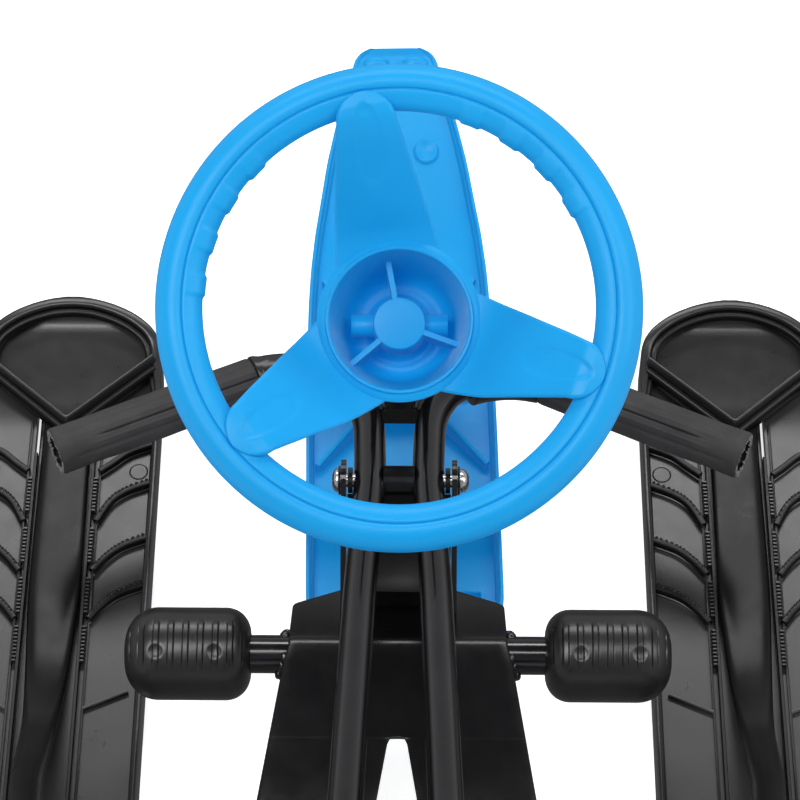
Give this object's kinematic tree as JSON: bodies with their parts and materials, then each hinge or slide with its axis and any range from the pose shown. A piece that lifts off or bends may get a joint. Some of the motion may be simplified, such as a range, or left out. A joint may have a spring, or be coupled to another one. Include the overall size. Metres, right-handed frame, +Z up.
{
  "type": "steerable snow sled",
  "caption": "Child's snow sled on skis: a wheel steers the front ski through a raked head, a foot brake swings under the frame, and a padded seat sits on bent steel tubes",
  "frame": {"origin": "on the ground under the middle of the sled: centre of the bounding box in X and Y, underside of the skis in Z", "axes": "+X to the rider's right, +Y towards the nose, +Z up"},
  "size_m": [0.536, 1, 0.3701],
  "materials": {
    "black_paint": "gloss black paint",
    "blue_plastic": "satin moulded blue",
    "ski_plastic": "satin moulded black",
    "grip_foam": "matte cut foam",
    "pedal_rubber": "ribbed matte rubber",
    "zinc_steel": "bright zinc plate",
    "nylon": "matte nylon",
    "board_plastic": "matte moulded black",
    "seat_cover": "matte coated cloth over foam"
  },
  "bodies": {
    "frame": {"left_main_tube": "black_paint", "right_main_tube": "black_paint", "left_foot_foam": "grip_foam", "right_foot_foam": "grip_foam", "left_arm_sleeve": "pedal_rubber", "right_arm_sleeve": "pedal_rubber", "head_tube": "black_paint", "upper_head_bush": "nylon", "lower_head_bush": "nylon", "head_gusset": "black_paint", "pivot_sleeve": "black_paint", "left_pivot_boss": "black_paint", "right_pivot_boss": "black_paint", "left_pivot_washer": "black_paint", "right_pivot_washer": "black_paint", "pivot_bolt": "zinc_steel", "pivot_nut": "zinc_steel", "left_side_rail": "black_paint", "right_side_rail": "black_paint", "front_cross_tube": "black_paint", "rear_cross_tube": "black_paint", "seat_board": "board_plastic", "seat_cushion": "seat_cover", "left_side_ski": "ski_plastic", "right_side_ski": "ski_plastic", "left_front_ski_bolt": "zinc_steel", "right_front_ski_bolt": "zinc_steel", "left_rear_ski_bolt": "zinc_steel", "right_rear_ski_bolt": "zinc_steel"},
    "steering": {"wheel_rim": "blue_plastic", "wheel_spider": "blue_plastic", "hub_cross_bolt": "zinc_steel", "hub_cross_nut": "zinc_steel", "steering_shaft": "black_paint", "shaft_collar": "zinc_steel", "ski_fork": "black_paint", "ski_axle_bolt": "zinc_steel", "ski_axle_nut": "zinc_steel"},
    "ski": {"front_ski": "blue_plastic", "left_ski_axle_bush": "nylon", "right_ski_axle_bush": "nylon"},
    "brake": {"brake_bridge_plate": "black_paint", "brake_web": "black_paint", "left_brake_ear": "black_paint", "right_brake_ear": "black_paint", "pedal_tube": "black_paint", "left_pedal_grip": "pedal_rubber", "right_pedal_grip": "pedal_rubber", "left_brake_claw": "zinc_steel", "right_brake_claw": "zinc_steel", "left_return_spring": "zinc_steel", "right_return_spring": "zinc_steel"}
  },
  "joints": [
    {"name": "steer", "type": "hinge", "parent": "frame", "child": "steering", "pos_m": [0, 0.129, 0.3], "axis": [0, -0.5, 0.866], "range_deg": [-24, 24]},
    {"name": "ski_pitch", "type": "hinge", "parent": "steering", "child": "ski", "pos_m": [0, 0.272, 0.05232], "axis": [1, 0, 0], "range_deg": [-6, 8]},
    {"name": "foot_brake", "type": "hinge", "parent": "frame", "child": "brake", "pos_m": [0, 0.13, 0.133], "axis": [1, 0, 0], "range_deg": [0, 11], "stiffness_Nm_per_rad": 40, "springref_deg": -9.74, "deforming": ["left_return_spring", "right_return_spring"]}
  ]
}
